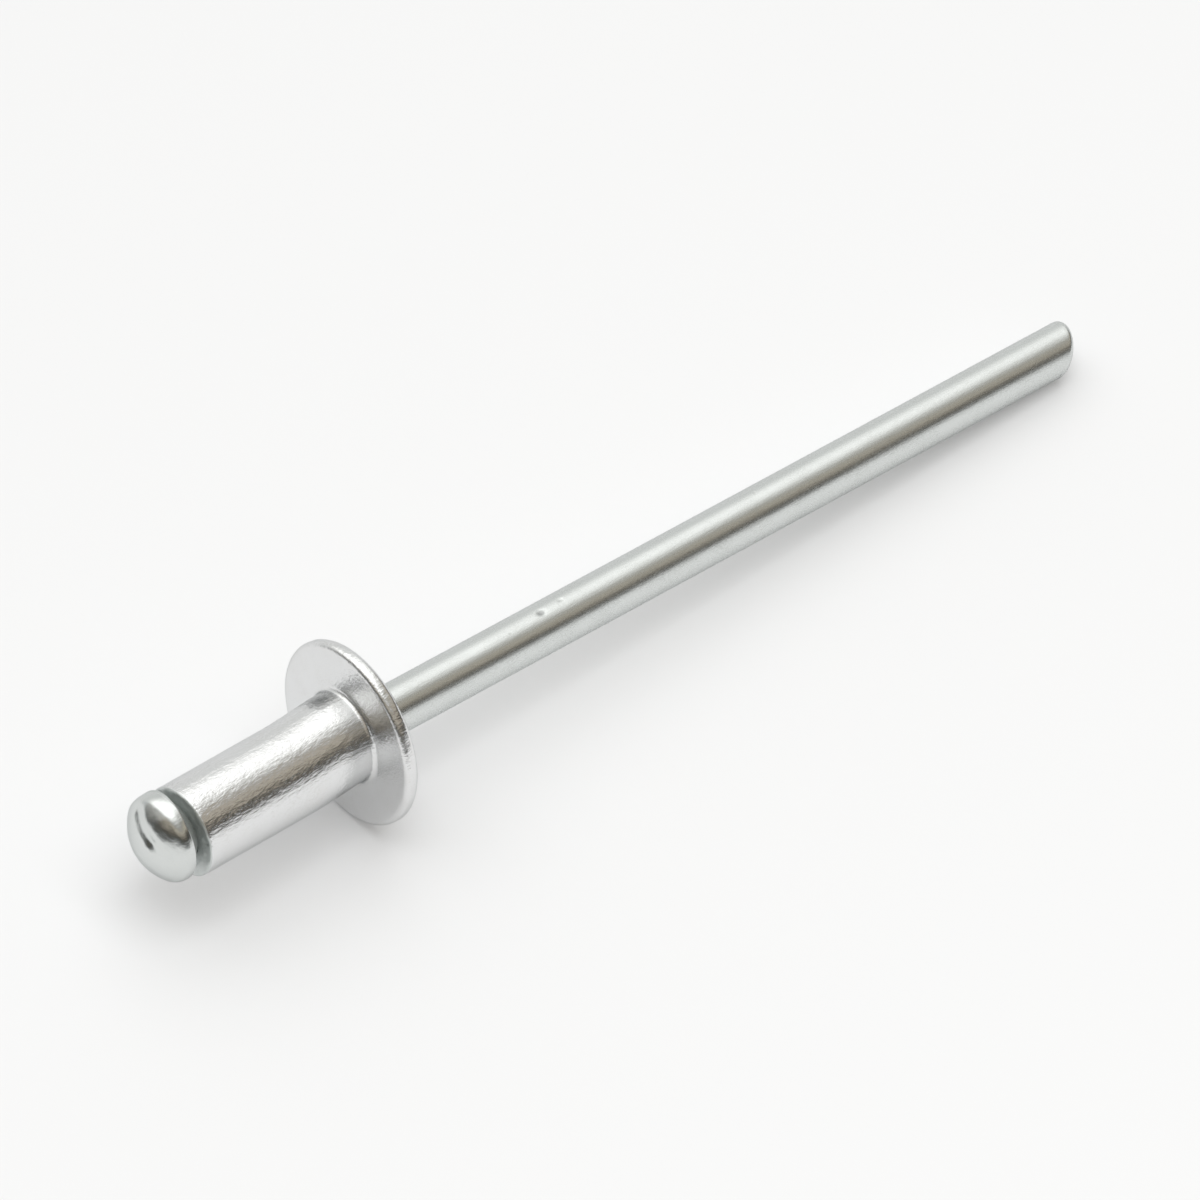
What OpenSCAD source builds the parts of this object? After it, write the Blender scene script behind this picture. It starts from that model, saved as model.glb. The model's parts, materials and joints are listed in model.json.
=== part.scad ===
// Blind (pop) rivet: a flanged tubular body on a headed pull mandrel, before setting.
// It lies at rest on its flange rim and the tip of its mandrel, with the surface it lies on at z = 0.
// Lengths are in millimetres. Profiles are drawn as radius (x) against distance along the axis (y),
// where y = 0 is the underside of the flange and +y runs towards the tip of the mandrel.

/* [Rivet body] */
// Outer diameter of the barrel, which fills the hole in the work
barrel_d = 3.2; // [2.8:0.05:3.9]
// Length of the barrel from the underside of the flange to its blind end
barrel_len = 7.1; // [5.5:0.1:12]
// Outer diameter of the flange
flange_d = 6.5; // [5.4:0.1:7.8]
// Height that the flange's dome would reach on the axis
flange_h = 1.0; // [0.8:0.05:1.3]
// Thickness of the flange at its rim
rim_t = 0.52; // [0.46:0.02:0.6]
// Radius of the rim's two edges
rim_edge_r = 0.2; // [0.16:0.02:0.22]
// Radius of the fillet between the barrel and the flange
root_fillet_r = 0.18; // [0.12:0.01:0.24]
// Radius of the barrel's outer edge at its blind end
barrel_edge_r = 0.08; // [0.04:0.01:0.12]
// Chamfer of the bore's mouth on top of the flange
mouth_chamfer = 0.08; // [0.04:0.01:0.12]

/* [Mandrel] */
// Diameter of the mandrel's shank
shank_d = 1.73; // [1.44:0.01:2.08]
// Length of shank from the underside of the flange to the tip
shank_out = 31.25; // [25:0.1:38]
// Radius of the tip's rounded edge
tip_edge_r = 0.22; // [0.1:0.02:0.4]
// Height of the head's dome
dome_h = 0.94; // [0.75:0.01:1.15]
// Radius of the dome's shoulder, where it turns into the straight band
dome_shoulder_r = 0.45; // [0.36:0.01:0.55]
// Length of the straight band around the head
head_band = 0.15; // [0.1:0.01:0.25]
// Radius of the head's rear edge
head_edge_r = 0.06; // [0.04:0.01:0.08]
// Length of the tapered neck between the head and the barrel's end
neck_len = 0.49; // [0.4:0.01:0.6]

/* [Break notch] */
// Distance from the barrel's blind end to the middle of the notch
notch_at = 1.2; // [0.8:0.1:2]
// Width of the notch at the shank's surface
notch_w = 0.5; // [0.3:0.02:0.6]
// Depth of the notch
notch_depth = 0.22; // [0.12:0.01:0.28]

/* [Fits] */
// Radial clearance of the shank in the body's bore
bore_clearance = 0.055; // [0.04:0.005:0.08]
// How far the head stays inside the barrel's radius, so that it passes through the same hole
head_inset = 0.03; // [0.02:0.005:0.06]
// Width of the ring on which the neck bears against the barrel's end
seat_w = 0.08; // [0.06:0.01:0.12]

/* [Hidden] */
$fn = 96;

barrel_r = barrel_d / 2;
flange_r = flange_d / 2;
shank_r = shank_d / 2;
bore_r = shank_r + bore_clearance;
head_r = barrel_r - head_inset;
neck_r = bore_r + seat_w;
// How far a cutting shape reaches past what it cuts
cut_over = 1;

// Flange: a dome that runs smoothly into the upper of the rim's two rounded edges
rim_x = flange_r - rim_edge_r;
rim_low = [rim_x, rim_edge_r];
rim_high = [rim_x, rim_t - rim_edge_r];
flange_dome_r = (rim_x ^ 2 + (flange_h - rim_high.y) ^ 2 - rim_edge_r ^ 2) / (2 * (flange_h - rim_t));
flange_dome_y = flange_h - flange_dome_r;
rim_turn = atan2(rim_x, rim_high.y - flange_dome_y);
// Height of the flange's top where the bore comes through it
flange_top = flange_dome_y + sqrt(flange_dome_r ^ 2 - bore_r ^ 2);

// Head: its rear edge, its band and then the dome, whose crown runs smoothly into the shoulder
blind_end = -barrel_len;
head_rear = blind_end - neck_len;
dome_base = head_rear - head_band;
shoulder_x = head_r - dome_shoulder_r;
crown_r = (shoulder_x ^ 2 + dome_h ^ 2 - dome_shoulder_r ^ 2) / (2 * (dome_h - dome_shoulder_r));
crown_y = dome_base - dome_h + crown_r;
crown_turn = atan2(shoulder_x, crown_y - dome_base);

// Rest: the line that touches the flange's rim and the tip's rounded edge from below is the ground
tip_centre = [shank_r - tip_edge_r, shank_out - tip_edge_r];
touch_drop = rim_x - tip_centre.x;
touch_run = tip_centre.y - rim_high.y;
rest_tilt = atan2(touch_drop, touch_run) + asin((rim_edge_r - tip_edge_r) / norm([touch_drop, touch_run]));
seat_height = tip_centre.y * sin(rest_tilt) + tip_centre.x * cos(rest_tilt) + tip_edge_r;
reach_to_tip = tip_centre.y * cos(rest_tilt) + tip_centre.x * sin(rest_tilt) + tip_edge_r;
reach_to_head = crown_y * cos(rest_tilt) - crown_r;
seat_x = -(reach_to_tip + reach_to_head) / 2;

// Lays a rivet that stands on the Z axis down as it rests, centred over the origin
module lie_down() {
    translate([seat_x, 0, seat_height]) rotate([0, 90 + rest_tilt, 0]) children();
}

// A rectangle from one corner to the opposite one
module span(from, to) {
    translate(from) square(to - from);
}

module disc_at(centre, r) {
    translate(centre) circle(r);
}

// The barrel's solid section, with its rounded outer edge at the blind end
module barrel_section() {
    span([0, blind_end], [barrel_r - barrel_edge_r, rim_edge_r]);
    span([0, blind_end + barrel_edge_r], [barrel_r, rim_edge_r]);
    disc_at([barrel_r - barrel_edge_r, blind_end + barrel_edge_r], barrel_edge_r);
}

// The ring of metal that fills the corner under the flange
module root_fillet_section() {
    difference() {
        span([barrel_r - root_fillet_r, -root_fillet_r], [barrel_r + root_fillet_r, rim_edge_r]);
        disc_at([barrel_r + root_fillet_r, -root_fillet_r], root_fillet_r);
    }
}

module flange_section() {
    intersection() {
        disc_at([0, flange_dome_y], flange_dome_r);
        polygon([
            [0, 0],
            [rim_x, 0],
            rim_high,
            rim_high + cut_over * [sin(rim_turn), cos(rim_turn)],
            [0, flange_h + cut_over]
        ]);
    }
    disc_at(rim_low, rim_edge_r);
    disc_at(rim_high, rim_edge_r);
    span(rim_low, [flange_r, rim_high.y]);
}

// What is removed down the middle: the bore and its chamfered mouth
module bore_section() {
    span([-cut_over, blind_end - cut_over], [bore_r, flange_h + cut_over]);
    polygon([
        [0, flange_top - mouth_chamfer],
        [bore_r, flange_top - mouth_chamfer],
        [bore_r + mouth_chamfer + cut_over, flange_top + cut_over],
        [0, flange_top + cut_over]
    ]);
}

// The head's dome: a shallow crown with a rounder shoulder
module dome_section() {
    intersection() {
        disc_at([0, crown_y], crown_r);
        polygon([
            [0, dome_base],
            [shoulder_x, dome_base],
            [shoulder_x, dome_base] + cut_over * [sin(crown_turn), -cos(crown_turn)],
            [0, dome_base - dome_h - cut_over]
        ]);
    }
    intersection() {
        disc_at([shoulder_x, dome_base], dome_shoulder_r);
        span([0, dome_base - dome_shoulder_r], [head_r, dome_base]);
    }
}

// Domed head with its band and rounded rear edge
module head_section() {
    dome_section();
    span([0, dome_base], [head_r, head_rear - head_edge_r]);
    span([0, dome_base], [head_r - head_edge_r, head_rear]);
    disc_at([head_r - head_edge_r, head_rear - head_edge_r], head_edge_r);
}

// The taper from the back of the head down to the ring that bears on the barrel's end
module neck_section() {
    polygon([
        [0, head_rear],
        [head_r - head_edge_r, head_rear],
        [neck_r, blind_end],
        [0, blind_end]
    ]);
}

// Plain wire with the break notch and the rounded tip
module shank_section() {
    difference() {
        union() {
            span([0, blind_end], [shank_r, tip_centre.y]);
            span([0, blind_end], [tip_centre.x, shank_out]);
            disc_at(tip_centre, tip_edge_r);
        }
        translate([shank_r, blind_end + notch_at])
            polygon([[0, -notch_w / 2], [cut_over, -notch_w / 2], [cut_over, notch_w / 2],
                     [0, notch_w / 2], [-notch_depth, 0]]);
    }
}

// Aluminium tube with its domed flange
module rivet_body() {
    color("gainsboro")
        lie_down()
            rotate_extrude()
                difference() {
                    union() {
                        barrel_section();
                        root_fillet_section();
                        flange_section();
                    }
                    bore_section();
                }
}

// Steel pull pin with its domed head seated against the barrel's end
module mandrel() {
    color("silver")
        lie_down()
            rotate_extrude() {
                head_section();
                neck_section();
                shank_section();
            }
}

rivet_body();
mandrel();
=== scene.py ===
import json
from math import asin, atan2, cos, exp, pi, radians, sin, sqrt

import bmesh
import bpy
from bpy.props import FloatProperty, FloatVectorProperty, IntProperty, PointerProperty
from mathutils import Matrix, Vector, noise


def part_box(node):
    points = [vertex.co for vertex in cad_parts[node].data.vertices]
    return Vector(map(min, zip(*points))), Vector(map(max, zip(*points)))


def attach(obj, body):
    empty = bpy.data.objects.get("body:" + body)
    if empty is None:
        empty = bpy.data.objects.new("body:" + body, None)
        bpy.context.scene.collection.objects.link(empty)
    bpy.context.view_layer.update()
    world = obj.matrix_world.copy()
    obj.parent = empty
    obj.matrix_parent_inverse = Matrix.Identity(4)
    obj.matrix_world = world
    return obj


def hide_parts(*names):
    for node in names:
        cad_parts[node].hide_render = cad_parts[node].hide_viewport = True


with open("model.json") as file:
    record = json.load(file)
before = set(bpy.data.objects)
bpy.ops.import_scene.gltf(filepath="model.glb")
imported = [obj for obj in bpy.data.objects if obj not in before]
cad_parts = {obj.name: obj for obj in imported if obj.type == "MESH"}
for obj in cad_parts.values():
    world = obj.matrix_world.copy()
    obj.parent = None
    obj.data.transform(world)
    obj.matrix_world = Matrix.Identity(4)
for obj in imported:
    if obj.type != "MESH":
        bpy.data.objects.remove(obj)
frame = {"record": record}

bl_info = {
    "name": "Pop rivet",
    "version": (1, 0, 0),
    "blender": (4, 5, 0),
    "location": "View3D > Sidebar > Rivet",
    "description": "Models a blind rivet with its pull mandrel, its metals and a small studio",
    "category": "Add Mesh",
}

MM = 0.001

# ---------------------------------------------------------------- what the frame says

MOUNTS = {mount["name"]: mount for mount in frame["record"]["mounts"]}
BARREL_R = MOUNTS["barrel"]["dims"]["r_mm"] * MM
SHANK_R = MOUNTS["mandrel_shank"]["dims"]["r_mm"] * MM
BODY_LOW, BODY_HIGH = (Vector(corner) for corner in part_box("rivet_body"))
PIN_LOW, PIN_HIGH = (Vector(corner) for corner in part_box("mandrel"))
FLANGE_R = (BODY_HIGH.y - BODY_LOW.y) / 2
HEAD_R = (PIN_HIGH.y - PIN_LOW.y) / 2

# The rivet's own axis, from the blind end to the tip, and the middle of the flange's underside
AXIS = -Vector(MOUNTS["barrel"]["axis"]).normalized()
FRONT = Vector((0, -1, 0))
UPRIGHT = FRONT.cross(AXIS)
SEAT = Vector(MOUNTS["flange_seat"]["pos_m"]) * Vector((1, 0, 1))

# Lathe space stands the rivet on its own axis: X is up, Y is towards the front, Z runs to the tip
LIE = Matrix.Translation(SEAT) @ Matrix((UPRIGHT, FRONT, AXIS)).transposed().to_4x4()


# ---------------------------------------------------------------- settings

def size(name, description, millimetres):
    return FloatProperty(name=name, description=description, default=millimetres * MM, min=0.0,
                         subtype="DISTANCE", unit="LENGTH", precision=5)


def angle(name, description, turn):
    return FloatProperty(name=name, description=description, default=radians(turn), subtype="ANGLE",
                         unit="ROTATION")


def colour(name, description, default):
    return FloatVectorProperty(name=name, description=description, default=default, size=3,
                               subtype="COLOR", min=0.0, max=1.0)


class RivetBodySettings(bpy.types.PropertyGroup):
    """Sizes of the aluminium body."""
    barrel_len: size("Barrel length", "From the flange's underside to the blind end", 7.1)
    barrel_edge: size("Blind edge radius", "Rounding of the barrel's outer edge", 0.08)
    root_fillet: size("Root fillet", "Fillet between the barrel and the flange", 0.18)
    rim_thickness: size("Rim thickness", "Thickness of the flange at its rim", 0.52)
    rim_edge: size("Rim edge radius", "Rounding of the rim's two edges", 0.2)
    flange_height: size("Flange height", "Height the flange's dome would reach on the axis", 1.0)
    bore_clearance: size("Bore clearance", "Gap all round between the shank and the bore", 0.055)
    mouth_chamfer: size("Mouth chamfer", "Chamfer of the bore on top of the flange", 0.08)
    waviness: size("Waviness", "How far the drawn wall wanders in and out", 0.004)
    end_raggedness: size("End raggedness", "How far the barrel's cut end is uneven", 0.045)
    rim_raggedness: size("Rim raggedness", "How far the flange's rim is uneven", 0.035)
    lean: angle("Lean", "How far the barrel leans from the mandrel's line", 1.04)
    offset: size("Offset", "How far the barrel sits to the side of the flange's middle", 0.09)
    flange_tilt: angle("Flange tilt", "How far the flange is out of square the other way", 1.6)
    segments: IntProperty(name="Segments", description="Facets around the body", default=288, min=24,
                          max=512)


class MandrelSettings(bpy.types.PropertyGroup):
    """Sizes of the steel mandrel."""
    dome_height: size("Dome height", "Height of the head's dome", 0.94)
    shoulder: size("Dome shoulder", "Radius where the dome turns into its band", 0.45)
    band: size("Head band", "Length of the straight band around the head", 0.15)
    head_edge: size("Head edge", "Radius of the head's rear edge", 0.06)
    neck_len: size("Neck length", "From the head's rear to the barrel's end", 0.49)
    seat_width: size("Seat width", "Width of the ring that bears on the barrel", 0.08)
    tip_edge: size("Tip edge", "Radius of the tip's rounded edge", 0.22)
    rear_skew: size("Rear skew", "How much thicker the head's rear is on one side", 0.24)
    tip_skew: size("Tip skew", "How far the sheared tip falls back on its short side", 0.75)
    notch_at: size("Notch place", "From the barrel's blind end to the break notch", 1.2)
    notch_width: size("Notch width", "Width of the break notch", 0.5)
    notch_depth: size("Notch depth", "Depth of the break notch", 0.22)
    bend: angle("Bend", "How far the head end is bent from the bare shank's line", 0.8)
    head_unevenness: size("Head unevenness", "How far the formed head is uneven", 0.03)
    segments: IntProperty(name="Segments", description="Facets around the mandrel", default=192, min=24,
                          max=512)


class FinishSettings(bpy.types.PropertyGroup):
    """Colours of the two metals and of the floor."""
    aluminium: colour("Aluminium", "Reflection colour of the body", (0.785, 0.788, 0.79))
    aluminium_dull: colour("Dull aluminium", "Reflection colour where the body is matt",
                           (0.695, 0.69, 0.678))
    steel: colour("Zinc-plated steel", "Reflection colour of the mandrel", (0.69, 0.71, 0.70))
    steel_dull: colour("Dull zinc", "Reflection colour where the plating is matt", (0.60, 0.615, 0.60))
    cut_end: colour("Cut end", "Reflection colour where metal was cut or squeezed", (0.62, 0.645, 0.635))
    floor: colour("Floor", "Colour of the floor", (0.655, 0.66, 0.67))


class StudioSettings(bpy.types.PropertyGroup):
    """Where the camera stands and how bright the softbox is."""
    azimuth: angle("Azimuth", "Turn of the camera around the rivet", -40.19)
    elevation: angle("Elevation", "Height angle of the camera", 46.4)
    lens: FloatProperty(name="Lens", description="Focal length in millimetres", default=800.0, min=50.0)
    view_width: size("View width", "Width of the picture at the rivet", 39.2)
    aim: size("Aim point", "From the flange's underside to the middle of the picture", 10.83)
    aim_below: size("Aim below", "How far the middle of the picture lies below the rivet's axis", 0.08)
    softbox: FloatProperty(name="Softbox", description="Brightness of the front softbox", default=3.0)


class RivetSettings(bpy.types.PropertyGroup):
    """All settings of the rivet."""
    body: PointerProperty(type=RivetBodySettings)
    mandrel: PointerProperty(type=MandrelSettings)
    finish: PointerProperty(type=FinishSettings)
    studio: PointerProperty(type=StudioSettings)


# ---------------------------------------------------------------- drawing outlines on the lathe

def start_at(bm, radius, along):
    return bm.verts.new((radius, 0, along))


def run_to(bm, end, radius, along, pieces=1):
    """Draws a straight stretch on from the outline's end and returns its new end."""
    step = (Vector((radius, 0, along)) - end.co) / pieces
    for _ in range(pieces):
        start = end.co.copy()
        end = bmesh.ops.extrude_vert_indiv(bm, verts=[end])["verts"][0]
        end.co = start + step
    return end


def turn_to(bm, end, centre, radius, along, steps):
    """Draws a round stretch about a centre, given as (radius, along), and returns its new end."""
    middle = Vector((centre[0], 0, centre[1]))
    start_arm, stop_arm = end.co - middle, Vector((radius, 0, along)) - middle
    angle = atan2(stop_arm.x, stop_arm.z) - atan2(start_arm.x, start_arm.z)
    angle = (angle + pi) % (2 * pi) - pi
    spun = bmesh.ops.spin(bm, geom=[end], cent=middle, axis=(0, 1, 0), angle=angle, steps=steps)
    return next(part for part in spun["geom_last"] if isinstance(part, bmesh.types.BMVert))


def turn_on_lathe(bm, segments):
    """Spins the outline into a closed skin whose faces point outwards."""
    bmesh.ops.spin(bm, geom=bm.verts[:] + bm.edges[:], cent=(0, 0, 0), axis=(0, 0, 1), angle=2 * pi,
                   steps=segments, use_merge=True)
    bmesh.ops.remove_doubles(bm, verts=bm.verts[:], dist=0.0005 * MM)
    bmesh.ops.recalc_face_normals(bm, faces=bm.faces[:])


def finish_piece(bm, name, node, material):
    """Lays the lathe-built skin down as the rivet rests, and makes it stand for a frame node."""
    bmesh.ops.transform(bm, matrix=LIE, verts=bm.verts[:])
    mesh = bpy.data.meshes.new(name)
    bm.to_mesh(mesh)
    bm.free()
    mesh.shade_smooth()
    mesh.set_sharp_from_angle(angle=radians(40))
    mesh.materials.append(material)
    piece = bpy.data.objects.new(name, mesh)
    bpy.context.scene.collection.objects.link(piece)
    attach(piece, "root")
    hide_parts(node)
    return piece


# ---------------------------------------------------------------- knocks and unevenness

# The clock angle, from the top of the resting rivet towards its front, that the camera faces
TOWARDS_CAMERA = 37.5
# Stretches along the lathe over which the body's lean, the mandrel's bend and the barrel's offset fade
LEAN_FADES = (-0.9 * MM, -0.1 * MM)
BEND_FADES = (-1.5 * MM, 1.0 * MM)
OFFSET_FADES = (-2.6 * MM, -0.2 * MM)
# The deepest nick in the shank: millimetres past the flange's underside, and clock angle
DARK_NICK = (8.23, 4)


def around(clock):
    """The sideways direction at a clock angle, in degrees from the rivet's top towards its front."""
    return Vector((cos(radians(clock)), sin(radians(clock)), 0))


def knock(bm, at, long_way, length, width, depth):
    """Presses an oval dent of soft edges into the skin around a point, along a given direction."""
    long_way = long_way.normalized()
    for vert in bm.verts:
        away = vert.co - at
        if away.length > 2.0 * max(length, width):
            continue
        lengthwise = away.dot(long_way)
        crosswise = (away - long_way * lengthwise).length
        fall = exp(-(2 * lengthwise / length) ** 2 - (2 * crosswise / width) ** 2)
        vert.co -= vert.normal * depth * fall


def wander(point, pitch, seed):
    """Smooth unevenness from 0 to 1 that changes over a pitch."""
    return 0.5 + 0.5 * max(-1.0, min(1.0, noise.noise(point / pitch + Vector((seed, seed, seed)))))


def ease(value, low, high):
    """0 below low, 1 above high, smooth between."""
    share = max(0.0, min(1.0, (value - low) / (high - low)))
    return share * share * (3 - 2 * share)


def lean_back(bm, behind_turn, ahead_turn, sideways, fades):
    """Turns the skin one way behind a stretch and another way ahead of it, and shifts the barrel."""
    shift = around(TOWARDS_CAMERA + 90) * sideways
    for vert in bm.verts:
        behind = 1 - ease(vert.co.z, *fades)
        turn = behind_turn * behind + ahead_turn * (1 - behind)
        away = 1 - ease(vert.co.z, *OFFSET_FADES)
        vert.co = Matrix.Rotation(turn, 3, around(TOWARDS_CAMERA)) @ vert.co + shift * away


def roughen_body(bm, body):
    """Gives the drawn wall, the cut end and the stamped rim their small unevenness."""
    blind_end = -body.barrel_len
    mid_wall = (SHANK_R + BARREL_R) / 2
    end_reach, rim_reach = 0.3 * MM, 0.35 * MM
    drawn_out = 0.35
    for vert in bm.verts:
        co = vert.co
        out = Vector((co.x, co.y, 0))
        radius = out.length
        if radius < mid_wall and co.z < 0:
            continue
        out.normalize()
        squeezed = Vector((co.x, co.y, co.z * drawn_out))
        on_barrel = 1 - ease(radius, BARREL_R + 0.02 * MM, BARREL_R + 0.2 * MM)
        inwards = body.waviness * wander(squeezed, pitch=0.6 * MM, seed=3.1) * on_barrel
        near_end = 1 - ease(co.z, blind_end, blind_end + end_reach)
        ragged = wander(co, pitch=0.3 * MM, seed=7.7) ** 2
        inwards += 0.5 * body.end_raggedness * near_end * ragged * on_barrel
        lift = body.end_raggedness * near_end * ragged
        at_rim = ease(radius, FLANGE_R - rim_reach, FLANGE_R)
        inwards += 0.6 * body.rim_raggedness * at_rim * wander(co, pitch=0.5 * MM, seed=1.9) ** 2
        lift += 0.3 * body.rim_raggedness * at_rim * wander(co, pitch=0.9 * MM, seed=5.3)
        vert.co = co - out * inwards + Vector((0, 0, lift))


def roughen_mandrel(bm, pin, head_rear, blind_end, tip):
    """Makes the pressed head uneven, thickens its rear on one side, and slants the sheared tip."""
    bm.normal_update()
    long_side = around(TOWARDS_CAMERA - 90)
    skew_from, slant_from, slant_to = head_rear - 0.45 * MM, tip - 1.2 * MM, tip - 0.25 * MM
    for vert in bm.verts:
        co = vert.co
        if co.z < blind_end - 0.01 * MM:
            fine = wander(co, pitch=0.22 * MM, seed=4.9)
            broad = wander(co, pitch=0.8 * MM, seed=2.3)
            uneven = 0.35 * fine + 0.65 * broad
            at_rear = ease(co.z, skew_from, head_rear) * (1 - ease(co.z, head_rear, blind_end))
            thicker = pin.rear_skew * at_rear * max(0.0, co.dot(long_side) / HEAD_R)
            vert.co = co - vert.normal * pin.head_unevenness * uneven + Vector((0, 0, thicker))
        elif co.z > slant_from:
            short_share = (1 - co.dot(long_side) / SHANK_R) / 2
            fall = pin.tip_skew * max(0.0, short_share) ** 1.5
            vert.co.z = co.z - fall * ease(co.z, slant_from, slant_to)


# ---------------------------------------------------------------- node helpers

def new_tree(material_name):
    material = bpy.data.materials.new(material_name)
    material.use_nodes = True
    material.node_tree.nodes.clear()
    return material, material.node_tree


def add(tree, kind, inputs=None, **settings):
    """Adds a node, sets its own settings, and fills or links its inputs by name."""
    node = tree.nodes.new(kind)
    for key, value in settings.items():
        setattr(node, key, value)
    for key, value in (inputs or {}).items():
        if isinstance(value, bpy.types.NodeSocket):
            tree.links.new(value, node.inputs[key])
        else:
            node.inputs[key].default_value = value
    return node


def new_group(name, inputs, outputs):
    """A shader node group with named inputs, each (name, kind, default), and named outputs."""
    group = bpy.data.node_groups.new(name, "ShaderNodeTree")
    for socket_name, kind, default in inputs:
        socket = group.interface.new_socket(socket_name, in_out="INPUT", socket_type=kind)
        if default is not None:
            socket.default_value = default
    for socket_name, kind in outputs:
        group.interface.new_socket(socket_name, in_out="OUTPUT", socket_type=kind)
    return group, group.nodes.new("NodeGroupInput"), group.nodes.new("NodeGroupOutput")


def mix_colours(tree, factor, first, second, blend_type="MIX"):
    """Mixes two colours, each of them plain or linked, and returns the mix."""
    return add(tree, "ShaderNodeMix", {0: factor, 6: first, 7: second}, data_type="RGBA",
               blend_type=blend_type).outputs[2]


def one_over(tree, value):
    return add(tree, "ShaderNodeMath", {0: 1.0, 1: value}, operation="DIVIDE").outputs[0]


def along_the_rivet(tree):
    """Object coordinates turned into lathe space, in millimetres: Z runs along the rivet."""
    coords = add(tree, "ShaderNodeTexCoord")
    return add(tree, "ShaderNodeMapping", {"Vector": coords.outputs["Object"], "Location": SEAT,
                                           "Rotation": LIE.to_euler(), "Scale": (MM, MM, MM)},
               vector_type="TEXTURE").outputs["Vector"]


def drawn_surface_group(name):
    """Ripples and fine lines that run along a drawn or extruded piece."""
    group, given, result = new_group(
        name,
        [("Place", "NodeSocketVector", None), ("Across", "NodeSocketFloat", 0.12),
         ("Along", "NodeSocketFloat", 0.6), ("Fine share", "NodeSocketFloat", 0.3)],
        [("Height", "NodeSocketFloat"), ("Dull", "NodeSocketFloat")])
    per_across = one_over(group, given.outputs["Across"])
    per_along = one_over(group, given.outputs["Along"])
    stretch = add(group, "ShaderNodeCombineXYZ", {"X": per_across, "Y": per_across, "Z": per_along})
    stretched = add(group, "ShaderNodeVectorMath", {0: given.outputs["Place"], 1: stretch.outputs[0]},
                    operation="MULTIPLY")
    ripples = add(group, "ShaderNodeTexNoise", {"Vector": stretched.outputs[0], "Scale": 1.0, "Detail": 2.0,
                                                "Roughness": 0.55})
    lines = add(group, "ShaderNodeTexNoise", {"Vector": stretched.outputs[0], "Scale": 3.7, "Detail": 3.0,
                                              "Roughness": 0.6})
    height = add(group, "ShaderNodeMix", {"Factor": given.outputs["Fine share"],
                                          "A": ripples.outputs["Fac"], "B": lines.outputs["Fac"]},
                 data_type="FLOAT")
    dull = add(group, "ShaderNodeMapRange", {"Value": lines.outputs["Fac"], "From Min": 0.42,
                                             "From Max": 0.7}, interpolation_type="SMOOTHSTEP")
    group.links.new(height.outputs[0], result.inputs["Height"])
    group.links.new(dull.outputs[0], result.inputs["Dull"])
    return group


def handling_marks_group(name):
    """Small pits and flecks left by handling loose in a box."""
    group, given, result = new_group(
        name,
        [("Place", "NodeSocketVector", None), ("Spacing", "NodeSocketFloat", 0.5),
         ("Size", "NodeSocketFloat", 0.12)],
        [("Mask", "NodeSocketFloat")])
    bent = add(group, "ShaderNodeTexNoise", {"Vector": given.outputs["Place"], "Scale": 4.0, "Detail": 1.0})
    shifted = add(group, "ShaderNodeVectorMath", {0: bent.outputs["Color"], 1: (0.22, 0.22, 0.22),
                                                  2: given.outputs["Place"]}, operation="MULTIPLY_ADD")
    cells = add(group, "ShaderNodeTexVoronoi", {"Vector": shifted.outputs[0], "Randomness": 1.0,
                                                "Scale": one_over(group, given.outputs["Spacing"])})
    pit = add(group, "ShaderNodeMapRange", {"Value": cells.outputs["Distance"], "From Min": 0.0,
                                            "From Max": given.outputs["Size"], "To Min": 1.0, "To Max": 0.0},
              interpolation_type="SMOOTHSTEP")
    chosen = add(group, "ShaderNodeSeparateColor", {"Color": cells.outputs["Color"]})
    some = add(group, "ShaderNodeMath", {0: chosen.outputs[0], 1: 0.55}, operation="GREATER_THAN")
    mask = add(group, "ShaderNodeMath", {0: pit.outputs[0], 1: some.outputs[0]}, operation="MULTIPLY")
    group.links.new(mask.outputs[0], result.inputs["Mask"])
    return group


def dull_patches_group(name):
    """Broad patches where the sheen is gone."""
    group, given, result = new_group(name, [("Place", "NodeSocketVector", None)],
                                     [("Mask", "NodeSocketFloat")])
    clouds = add(group, "ShaderNodeTexNoise", {"Vector": given.outputs["Place"], "Scale": 0.9, "Detail": 3.0,
                                               "Roughness": 0.6})
    mask = add(group, "ShaderNodeMapRange", {"Value": clouds.outputs["Fac"], "From Min": 0.35,
                                             "From Max": 0.7})
    group.links.new(mask.outputs[0], result.inputs["Mask"])
    return group


def cut_stretch_group(name):
    """A stretch along the rivet where metal was cut or squeezed."""
    group, given, result = new_group(
        name,
        [("Place", "NodeSocketVector", None), ("Middle", "NodeSocketFloat", -7.0),
         ("Half length", "NodeSocketFloat", 0.1)],
        [("Mask", "NodeSocketFloat")])
    along = add(group, "ShaderNodeSeparateXYZ", {"Vector": given.outputs["Place"]}).outputs["Z"]
    mask = add(group, "ShaderNodeMath", {0: along, 1: given.outputs["Middle"],
                                         2: given.outputs["Half length"]}, operation="COMPARE")
    group.links.new(mask.outputs[0], result.inputs["Mask"])
    return group


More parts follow.
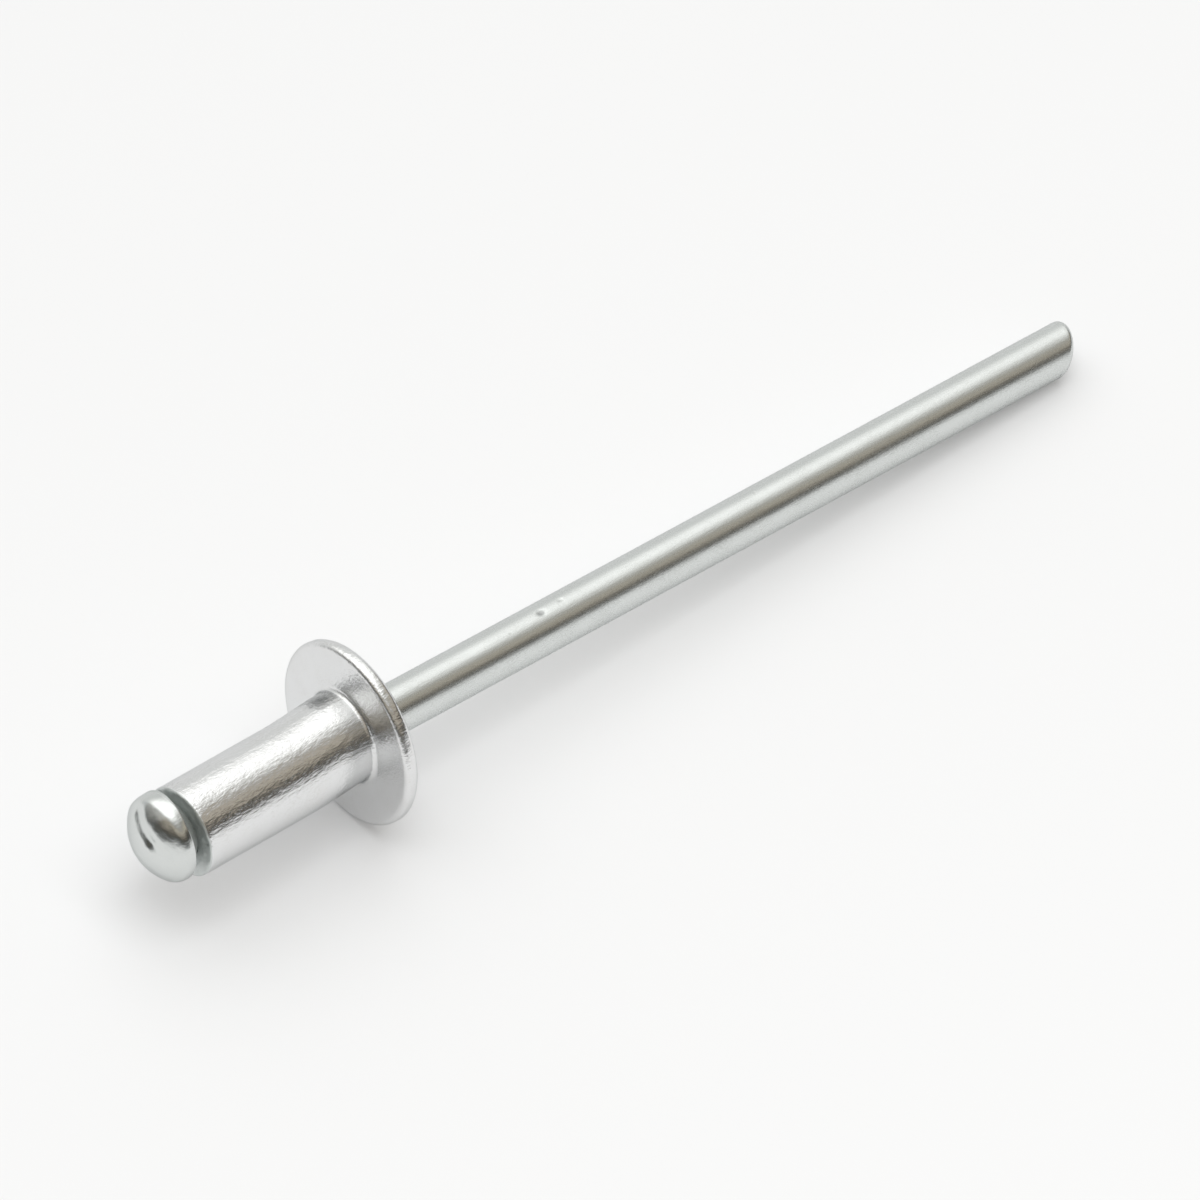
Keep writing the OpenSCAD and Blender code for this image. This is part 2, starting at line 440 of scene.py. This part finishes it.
def dark_patch_group(name):
    """A dark patch with a frayed edge, painted around a spot."""
    group, given, result = new_group(
        name,
        [("Place", "NodeSocketVector", None), ("Spot", "NodeSocketVector", None),
         ("Reach", "NodeSocketFloat", 0.5)],
        [("Mask", "NodeSocketFloat")])
    frayed = add(group, "ShaderNodeTexNoise", {"Vector": given.outputs["Place"], "Scale": 7.0,
                                               "Detail": 2.0})
    away = add(group, "ShaderNodeVectorMath", {0: given.outputs["Place"], 1: given.outputs["Spot"]},
               operation="DISTANCE").outputs["Value"]
    apart = add(group, "ShaderNodeMath", {0: frayed.outputs["Fac"], 1: given.outputs["Reach"], 2: away},
                operation="MULTIPLY_ADD")
    reaches = add(group, "ShaderNodeMath", {0: apart.outputs[0], 1: given.outputs["Reach"]},
                  operation="DIVIDE")
    mask = add(group, "ShaderNodeMapRange", {"Value": reaches.outputs[0], "From Min": 1.45, "From Max": 0.75,
                                             "To Max": 0.55}, interpolation_type="SMOOTHSTEP")
    group.links.new(mask.outputs[0], result.inputs["Mask"])
    return group


GROUPS = {"drawn surface": drawn_surface_group, "handling marks": handling_marks_group,
          "dull patches": dull_patches_group, "cut stretch": cut_stretch_group,
          "dark patch": dark_patch_group}


def place_group(tree, name, here, values=None):
    """Places an effect's node group, built at its first use, with this material's own values."""
    group = bpy.data.node_groups.get(name) or GROUPS[name](name)
    return add(tree, "ShaderNodeGroup", {"Place": here, **(values or {})}, node_tree=group)


def scale_behind(tree, here, limit, value, share):
    """Multiplies a value by a share where the surface lies behind a limit along the rivet."""
    along = add(tree, "ShaderNodeSeparateXYZ", {"Vector": here}).outputs["Z"]
    behind = add(tree, "ShaderNodeMath", {0: along, 1: limit}, operation="LESS_THAN")
    factor = add(tree, "ShaderNodeMapRange", {"Value": behind.outputs[0], "To Min": 1.0, "To Max": share})
    return add(tree, "ShaderNodeMath", {0: value, 1: factor.outputs[0]}, operation="MULTIPLY").outputs[0]


# Colour of the painted dark patch: painted shade in the crease at the barrel's root, and a dark spot at the
# shank's deepest nick
DARK_PATCH_COLOUR = (0.16, 0.165, 0.165, 1)
EDGE_TINT = (0.72, 0.73, 0.73, 1.0)
# How much rougher a cut stretch is, and the shares of roughness and relief that the pressed head keeps
CUT_ROUGHER = 0.3
HEAD_ROUGHNESS_SHARE = 0.42
HEAD_RELIEF_SHARE = 1.4


def metal(name, clean, dull, cut, roughness, ripple_height, pit_depth, drawn, marks, cut_stretch, dark_patch,
          head_ends=None):
    """A bare metal with ripples, pits, dull patches, a matt cut stretch and a painted dark patch, in
    millimetres.
    """
    material, tree = new_tree(name)
    here = along_the_rivet(tree)
    surface = place_group(tree, "drawn surface", here, drawn)
    pits = place_group(tree, "handling marks", here, marks).outputs["Mask"]
    patches = place_group(tree, "dull patches", here).outputs["Mask"]
    sheared = place_group(tree, "cut stretch", here, cut_stretch).outputs["Mask"]
    dark_patch_mask = place_group(tree, "dark patch", here, dark_patch).outputs["Mask"]

    worn = add(tree, "ShaderNodeMath", {0: surface.outputs["Dull"], 1: patches}, operation="MULTIPLY")
    marked = add(tree, "ShaderNodeMath", {0: worn.outputs[0], 1: pits}, operation="MAXIMUM").outputs[0]
    tone = mix_colours(tree, marked, (*clean, 1), (*dull, 1))
    tone = mix_colours(tree, sheared, tone, (*cut, 1))
    # Painted dark patch: painted shade in the crease at the barrel's root on the body, and a dark spot at
    # the deepest nick on the mandrel
    tone = mix_colours(tree, dark_patch_mask, tone, DARK_PATCH_COLOUR)

    sheen = add(tree, "ShaderNodeMapRange", {"Value": marked, "To Min": roughness[0],
                                             "To Max": roughness[1]})
    rough = add(tree, "ShaderNodeMath", {0: sheared, 1: CUT_ROUGHER, 2: sheen.outputs[0]},
                operation="MULTIPLY_ADD").outputs[0]
    relief = surface.outputs["Height"]
    if head_ends is not None:
        rough = scale_behind(tree, here, head_ends, rough, HEAD_ROUGHNESS_SHARE)
        relief = scale_behind(tree, here, head_ends, relief, HEAD_RELIEF_SHARE)
    ripple = add(tree, "ShaderNodeBump", {"Height": relief, "Strength": 1.0, "Distance": ripple_height * MM})
    pitted = add(tree, "ShaderNodeBump", {"Height": pits, "Strength": 1.0, "Distance": pit_depth * MM,
                                          "Normal": ripple.outputs["Normal"]}, invert=True)
    shader = add(tree, "ShaderNodeBsdfPrincipled", {"Base Color": tone, "Metallic": 1.0, "Roughness": rough,
                                                    "Specular Tint": EDGE_TINT,
                                                    "Normal": pitted.outputs["Normal"]})
    output = add(tree, "ShaderNodeOutputMaterial")
    tree.links.new(shader.outputs["BSDF"], output.inputs["Surface"])
    return material


def aluminium(finish, blind_end):
    """The body's metal, with its cut end and a dark patch of painted shade in the crease at the barrel's
    root.
    """
    # Middle of the dark patch of painted shade, in the crease where the barrel meets the flange
    root = around(-21) * BARREL_R / MM
    root.z = -0.75
    return metal("formed aluminium", finish.aluminium, finish.aluminium_dull, finish.cut_end,
                 roughness=(0.065, 0.24), ripple_height=0.022, pit_depth=0.004,
                 drawn={"Across": 0.12, "Along": 0.32, "Fine share": 0.3},
                 marks={"Spacing": 0.8, "Size": 0.1},
                 cut_stretch={"Middle": blind_end / MM - 0.01, "Half length": 0.08},
                 dark_patch={"Spot": root, "Reach": 0.62})


def plated_steel(finish, head_rear, blind_end):
    """The mandrel's metal, with its glossier pressed head, its squeezed neck and the dark nick."""
    along, clock = DARK_NICK
    nick = around(clock) * SHANK_R / MM
    nick.z = along
    neck_from, neck_to = head_rear / MM + 0.02, blind_end / MM + 0.01
    return metal("zinc-plated steel", finish.steel, finish.steel_dull, finish.cut_end,
                 roughness=(0.26, 0.42), ripple_height=0.005, pit_depth=0.003,
                 drawn={"Across": 0.07, "Along": 0.4, "Fine share": 0.4},
                 marks={"Spacing": 1.1, "Size": 0.08},
                 cut_stretch={"Middle": (neck_from + neck_to) / 2, "Half length": (neck_to - neck_from) / 2},
                 dark_patch={"Spot": nick, "Reach": 0.22}, head_ends=neck_from)


# ---------------------------------------------------------------- operators

class RIVET_OT_body(bpy.types.Operator):
    """Model the aluminium barrel and flange"""
    bl_idname = "rivet.body"
    bl_label = "Rivet Body"

    def execute(self, context):
        settings = context.scene.rivet
        body = settings.body
        blind_end = -body.barrel_len
        edge, fillet = body.barrel_edge, body.root_fillet
        bore_r = SHANK_R + body.bore_clearance
        rim_r, thick, height = body.rim_edge, body.rim_thickness, body.flange_height
        rim_x, rim_top = FLANGE_R - rim_r, thick - rim_r
        dome_r = (rim_x ** 2 + (height - rim_top) ** 2 - rim_r ** 2) / (2 * (height - thick))
        dome_y = height - dome_r
        to_rim = Vector((rim_x, rim_top - dome_y)).normalized()
        top = dome_y + sqrt(dome_r ** 2 - bore_r ** 2)
        # The dome falls away from the bore, so the chamfer leaves it a little short of its full width
        mouth = body.mouth_chamfer
        mouth_r = bore_r + 0.85 * mouth
        ragged_to = blind_end + 0.6 * MM

        bm = bmesh.new()
        end = start_at(bm, bore_r, blind_end)
        end = run_to(bm, end, BARREL_R - edge, blind_end, pieces=8)
        end = turn_to(bm, end, (BARREL_R - edge, blind_end + edge), BARREL_R, blind_end + edge, steps=6)
        end = run_to(bm, end, BARREL_R, ragged_to, pieces=14)
        end = run_to(bm, end, BARREL_R, -fillet, pieces=90)
        end = turn_to(bm, end, (BARREL_R + fillet, -fillet), BARREL_R + fillet, 0, steps=6)
        end = run_to(bm, end, rim_x, 0, pieces=26)
        end = turn_to(bm, end, (rim_x, rim_r), FLANGE_R, rim_r, steps=10)
        end = run_to(bm, end, FLANGE_R, rim_top, pieces=2)
        end = turn_to(bm, end, (rim_x, rim_top), rim_x + rim_r * to_rim.x, rim_top + rim_r * to_rim.y,
                      steps=8)
        end = turn_to(bm, end, (0, dome_y), mouth_r, dome_y + sqrt(dome_r ** 2 - mouth_r ** 2), steps=30)
        end = run_to(bm, end, bore_r, top - mouth, pieces=2)
        run_to(bm, end, bore_r, blind_end, pieces=24)
        turn_on_lathe(bm, body.segments)
        roughen_body(bm, body)
        lean_back(bm, body.lean, -body.flange_tilt, body.offset, LEAN_FADES)
        finish_piece(bm, "tube_and_flange", "rivet_body",
                     aluminium(settings.finish, blind_end))
        return {"FINISHED"}


class RIVET_OT_mandrel(bpy.types.Operator):
    """Model the steel pull mandrel with its domed head"""
    bl_idname = "rivet.mandrel"
    bl_label = "Pull Mandrel"

    def execute(self, context):
        settings = context.scene.rivet
        body, pin = settings.body, settings.mandrel
        blind_end = -body.barrel_len
        head_rear = blind_end - pin.neck_len
        dome_base = head_rear - pin.band
        dome_height, shoulder, edge = pin.dome_height, pin.shoulder, pin.head_edge
        shoulder_x = HEAD_R - shoulder
        crown_r = (shoulder_x ** 2 + dome_height ** 2 - shoulder ** 2) / (2 * (dome_height - shoulder))
        crown_y = dome_base - dome_height + crown_r
        to_shoulder = Vector((shoulder_x, dome_base - crown_y)).normalized()
        neck_r = SHANK_R + body.bore_clearance + pin.seat_width
        tip_edge = pin.tip_edge
        slant = asin(-AXIS.z)
        tip = (PIN_HIGH.x - SEAT.x - tip_edge - (SHANK_R - tip_edge) * sin(slant)) / cos(slant) + tip_edge
        notch, half = blind_end + pin.notch_at, pin.notch_width / 2
        nicked_from, nicked_to, slanted_from = 7.5 * MM, 12 * MM, tip - 1.5 * MM

        bm = bmesh.new()
        end = start_at(bm, 0, dome_base - dome_height)
        joint = Vector((0, crown_y)) + crown_r * to_shoulder
        end = turn_to(bm, end, (0, crown_y), joint.x, joint.y, steps=44)
        end = turn_to(bm, end, (shoulder_x, dome_base), HEAD_R, dome_base, steps=14)
        end = run_to(bm, end, HEAD_R, head_rear - edge, pieces=3)
        end = turn_to(bm, end, (HEAD_R - edge, head_rear - edge), HEAD_R - edge, head_rear, steps=6)
        end = run_to(bm, end, neck_r, blind_end, pieces=6)
        end = run_to(bm, end, SHANK_R, blind_end, pieces=2)
        end = run_to(bm, end, SHANK_R, notch - half, pieces=3)
        end = run_to(bm, end, SHANK_R - pin.notch_depth, notch, pieces=2)
        end = run_to(bm, end, SHANK_R, notch + half, pieces=2)
        end = run_to(bm, end, SHANK_R, nicked_from, pieces=40)
        end = run_to(bm, end, SHANK_R, nicked_to, pieces=90)
        end = run_to(bm, end, SHANK_R, slanted_from, pieces=130)
        end = run_to(bm, end, SHANK_R, tip - tip_edge, pieces=16)
        end = turn_to(bm, end, (SHANK_R - tip_edge, tip - tip_edge), SHANK_R - tip_edge, tip, steps=10)
        run_to(bm, end, 0, tip, pieces=8)
        turn_on_lathe(bm, pin.segments)
        roughen_mandrel(bm, pin, head_rear, blind_end, tip)
        self.knock_head(bm, dome_base - dome_height, crown_r)
        self.nick_shank(bm)
        lean_back(bm, pin.bend, 0, 0, BEND_FADES)
        finish_piece(bm, "pull_mandrel", "mandrel",
                     plated_steel(settings.finish, head_rear, blind_end))
        return {"FINISHED"}

    def knock_head(self, bm, top, crown_r):
        """A slanting groove across the dome, deepest at its near end, and a small fleck beside it."""
        bm.normal_update()
        near, far = around(54) * 0.66 * MM, around(-38) * 1.3 * MM
        way = near - far
        spots = [(far + way * share, length, width, depth) for share, length, width, depth in
                 ((0.4, 1.4, 0.42, 0.06), (0.1, 0.5, 0.4, 0.05), (0.82, 0.7, 0.44, 0.1))]
        spots.append((around(75) * 1.1 * MM, 0.35, 0.12, 0.012))
        for spot, length, width, depth in spots:
            spot.z = top + crown_r - sqrt(crown_r ** 2 - spot.length_squared)
            knock(bm, spot, way, length * MM, width * MM, depth * MM)

    def nick_shank(self, bm):
        """Small nicks that the wire picked up in handling, with their sizes in millimetres."""
        for along, clock, length, width, depth in (
                (*DARK_NICK, 0.3, 0.22, 0.024), (9.14, -1, 0.2, 0.15, 0.014),
                (5.16, 8, 0.22, 0.16, 0.014), (17.3, 75, 0.4, 0.15, 0.02)):
            spot = around(clock) * SHANK_R
            spot.z = along * MM
            knock(bm, spot, Vector((0, 0, 1)), length * MM, width * MM, depth * MM)


# Directions in the studio: azimuth from +X towards +Y, and elevation, in degrees
SOFTBOX_SIDE = (-100, 70)
WALL_SIDE = (65, 0)
GLOW_SIDE = (85, 67)
SWEEP_SIDE = (8, 0)
SOFTBOX_WIDTH = 0.36
SOFTBOX_AWAY = 0.5
FLOOR_RADIUS = 1.2
SENSOR_WIDTH = 36.0


class RIVET_OT_stage(bpy.types.Operator):
    """Set up the floor, the softbox, the room and the camera"""
    bl_idname = "rivet.stage"
    bl_label = "Studio"

    def execute(self, context):
        settings = context.scene.rivet
        self.lay_floor(settings.finish)
        self.hang_softbox(settings.studio)
        self.paint_room(context.scene)
        self.place_camera(context.scene, settings.studio)
        context.scene.view_settings.view_transform = "Standard"
        return {"FINISHED"}

    def lay_floor(self, finish):
        material, tree = new_tree("pale floor")
        shader = add(tree, "ShaderNodeBsdfPrincipled", {"Base Color": (*finish.floor, 1), "Roughness": 0.9,
                                                        "Specular IOR Level": 0.0, "Emission Strength": 0.15,
                                                        "Emission Color": (1.0, 1.0, 1.0, 1.0)})
        output = add(tree, "ShaderNodeOutputMaterial")
        tree.links.new(shader.outputs["BSDF"], output.inputs["Surface"])
        bm = bmesh.new()
        bmesh.ops.create_circle(bm, cap_ends=True, segments=96, radius=FLOOR_RADIUS)
        mesh = bpy.data.meshes.new("floor")
        bm.to_mesh(mesh)
        bm.free()
        mesh.materials.append(material)
        floor = bpy.data.objects.new("floor", mesh)
        bpy.context.scene.collection.objects.link(floor)

    def hang_softbox(self, studio):
        """A square softbox above and in front, which lights the floor and leaves the metal to the room."""
        towards = self.compass(*SOFTBOX_SIDE)
        level = Vector((0, 0, 1)).cross(towards).normalized()
        light = bpy.data.lights.new("front softbox", "AREA")
        light.shape = "SQUARE"
        light.size = SOFTBOX_WIDTH
        light.energy = studio.softbox * pi * light.size ** 2
        lamp = bpy.data.objects.new("front softbox", light)
        lamp.matrix_world = (Matrix.Translation(towards * SOFTBOX_AWAY)
                             @ Matrix((level, towards.cross(level), towards)).transposed().to_4x4())
        lamp.visible_camera = False
        lamp.visible_glossy = False
        bpy.context.scene.collection.objects.link(lamp)

    def compass(self, azimuth, elevation):
        """The direction at an azimuth from +X towards +Y and an elevation, in degrees."""
        flat = cos(radians(elevation))
        return Vector((cos(radians(azimuth)) * flat, sin(radians(azimuth)) * flat, sin(radians(elevation))))

    def paint_room(self, scene):
        """A dark room with a pale wall behind, a pale sweep at the right and a bright glow above."""
        world = bpy.data.worlds.new("studio room")
        scene.world = world
        world.use_nodes = True
        tree = world.node_tree
        tree.nodes.clear()
        sight = add(tree, "ShaderNodeTexCoord").outputs["Generated"]
        height = add(tree, "ShaderNodeSeparateXYZ", {"Vector": sight}).outputs["Z"]
        room = self.ramp(tree, height, (
            (0.0, (0.78, 0.78, 0.78)), (0.05, (0.62, 0.63, 0.63)), (0.11, (0.25, 0.255, 0.25)),
            (0.22, (0.14, 0.143, 0.138)), (0.35, (0.06, 0.057, 0.051)), (0.45, (0.11, 0.1, 0.083)),
            (0.54, (0.33, 0.29, 0.238)), (0.65, (0.60, 0.55, 0.46)), (0.73, (0.40, 0.37, 0.31)),
            (0.80, (0.36, 0.35, 0.325)), (1.0, (0.55, 0.55, 0.55))))
        wall = self.ramp(tree, self.facing(tree, sight, WALL_SIDE), (
            (0.3, (0.0, 0.0, 0.0)), (0.55, (0.46, 0.47, 0.465)), (0.8, (0.78, 0.79, 0.78))))
        glow = self.ramp(tree, self.facing(tree, sight, GLOW_SIDE), (
            (0.40, (0.0, 0.0, 0.0)), (0.55, (0.3, 0.295, 0.28)), (0.643, (0.45, 0.445, 0.42)),
            (0.72, (0.68, 0.675, 0.65)), (0.788, (1.05, 1.05, 1.02)), (0.829, (1.32, 1.32, 1.30)),
            (0.87, (1.55, 1.55, 1.53))))
        beside = add(tree, "ShaderNodeMapRange", {"Value": self.facing(tree, sight, SWEEP_SIDE),
                                                  "From Min": -0.15, "From Max": 0.3},
                     interpolation_type="SMOOTHSTEP")
        low = add(tree, "ShaderNodeMapRange", {"Value": height, "From Min": 0.21, "From Max": 0.11},
                  interpolation_type="SMOOTHSTEP")
        sweep = add(tree, "ShaderNodeMath", {0: beside.outputs[0], 1: low.outputs[0]}, operation="MULTIPLY")
        pale = self.ramp(tree, sweep.outputs[0], ((0.0, (0.0, 0.0, 0.0)), (1.0, (0.87, 0.87, 0.86))))
        total = room
        for part in (wall, glow, pale):
            total = mix_colours(tree, 1.0, total, part, blend_type="LIGHTEN")
        background = add(tree, "ShaderNodeBackground", {"Color": total})
        output = add(tree, "ShaderNodeOutputWorld")
        tree.links.new(background.outputs[0], output.inputs["Surface"])

    def facing(self, tree, sight, side):
        """How nearly the line of sight points to a side: 1 straight at it, 0 square to it."""
        return add(tree, "ShaderNodeVectorMath", {0: sight, 1: self.compass(*side)},
                   operation="DOT_PRODUCT").outputs["Value"]

    def ramp(self, tree, value, stops):
        """A smooth run of colours along a value."""
        node = add(tree, "ShaderNodeValToRGB", {"Fac": value})
        elements = node.color_ramp.elements
        while len(elements) < len(stops):
            elements.new(1.0)
        for element, (position, tone) in zip(elements, stops):
            element.position = position
            element.color = (*tone, 1)
        return node.outputs["Color"]

    def place_camera(self, scene, studio):
        turn, rise = studio.azimuth, studio.elevation
        back = Vector((sin(turn) * cos(rise), -cos(turn) * cos(rise), sin(rise)))
        right = Vector((cos(turn), sin(turn), 0))
        data = bpy.data.cameras.new("camera")
        data.lens = studio.lens
        data.sensor_width = SENSOR_WIDTH
        data.clip_start, data.clip_end = 0.01, 20.0
        distance = studio.view_width * studio.lens / data.sensor_width
        below = AXIS.cross(back).normalized()
        target = SEAT + AXIS * studio.aim + below * studio.aim_below
        camera = bpy.data.objects.new("camera", data)
        camera.matrix_world = (Matrix.Translation(target + back * distance)
                               @ Matrix((right, back.cross(right), back)).transposed().to_4x4())
        scene.collection.objects.link(camera)
        scene.camera = camera


class RIVET_PT_panel(bpy.types.Panel):
    """Lists the pieces and their settings"""
    bl_label = "Pop Rivet"
    bl_idname = "RIVET_PT_panel"
    bl_space_type = "VIEW_3D"
    bl_region_type = "UI"
    bl_category = "Rivet"

    def draw(self, context):
        settings = context.scene.rivet
        for operator, group in ((RIVET_OT_body, settings.body), (RIVET_OT_mandrel, settings.mandrel),
                                (RIVET_OT_stage, settings.studio), (None, settings.finish)):
            box = self.layout.box()
            if operator:
                box.operator(operator.bl_idname)
            for key in group.bl_rna.properties.keys():
                if key not in ("rna_type", "name"):
                    box.prop(group, key)


CLASSES = (RivetBodySettings, MandrelSettings, FinishSettings, StudioSettings, RivetSettings,
           RIVET_OT_body, RIVET_OT_mandrel, RIVET_OT_stage, RIVET_PT_panel)


def register():
    for cls in CLASSES:
        bpy.utils.register_class(cls)
    bpy.types.Scene.rivet = PointerProperty(type=RivetSettings)


def unregister():
    del bpy.types.Scene.rivet
    for cls in reversed(CLASSES):
        bpy.utils.unregister_class(cls)


def main():
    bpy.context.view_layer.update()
    register()
    bpy.ops.rivet.body()
    bpy.ops.rivet.mandrel()
    bpy.ops.rivet.stage()


if __name__ == "__main__":
    main()
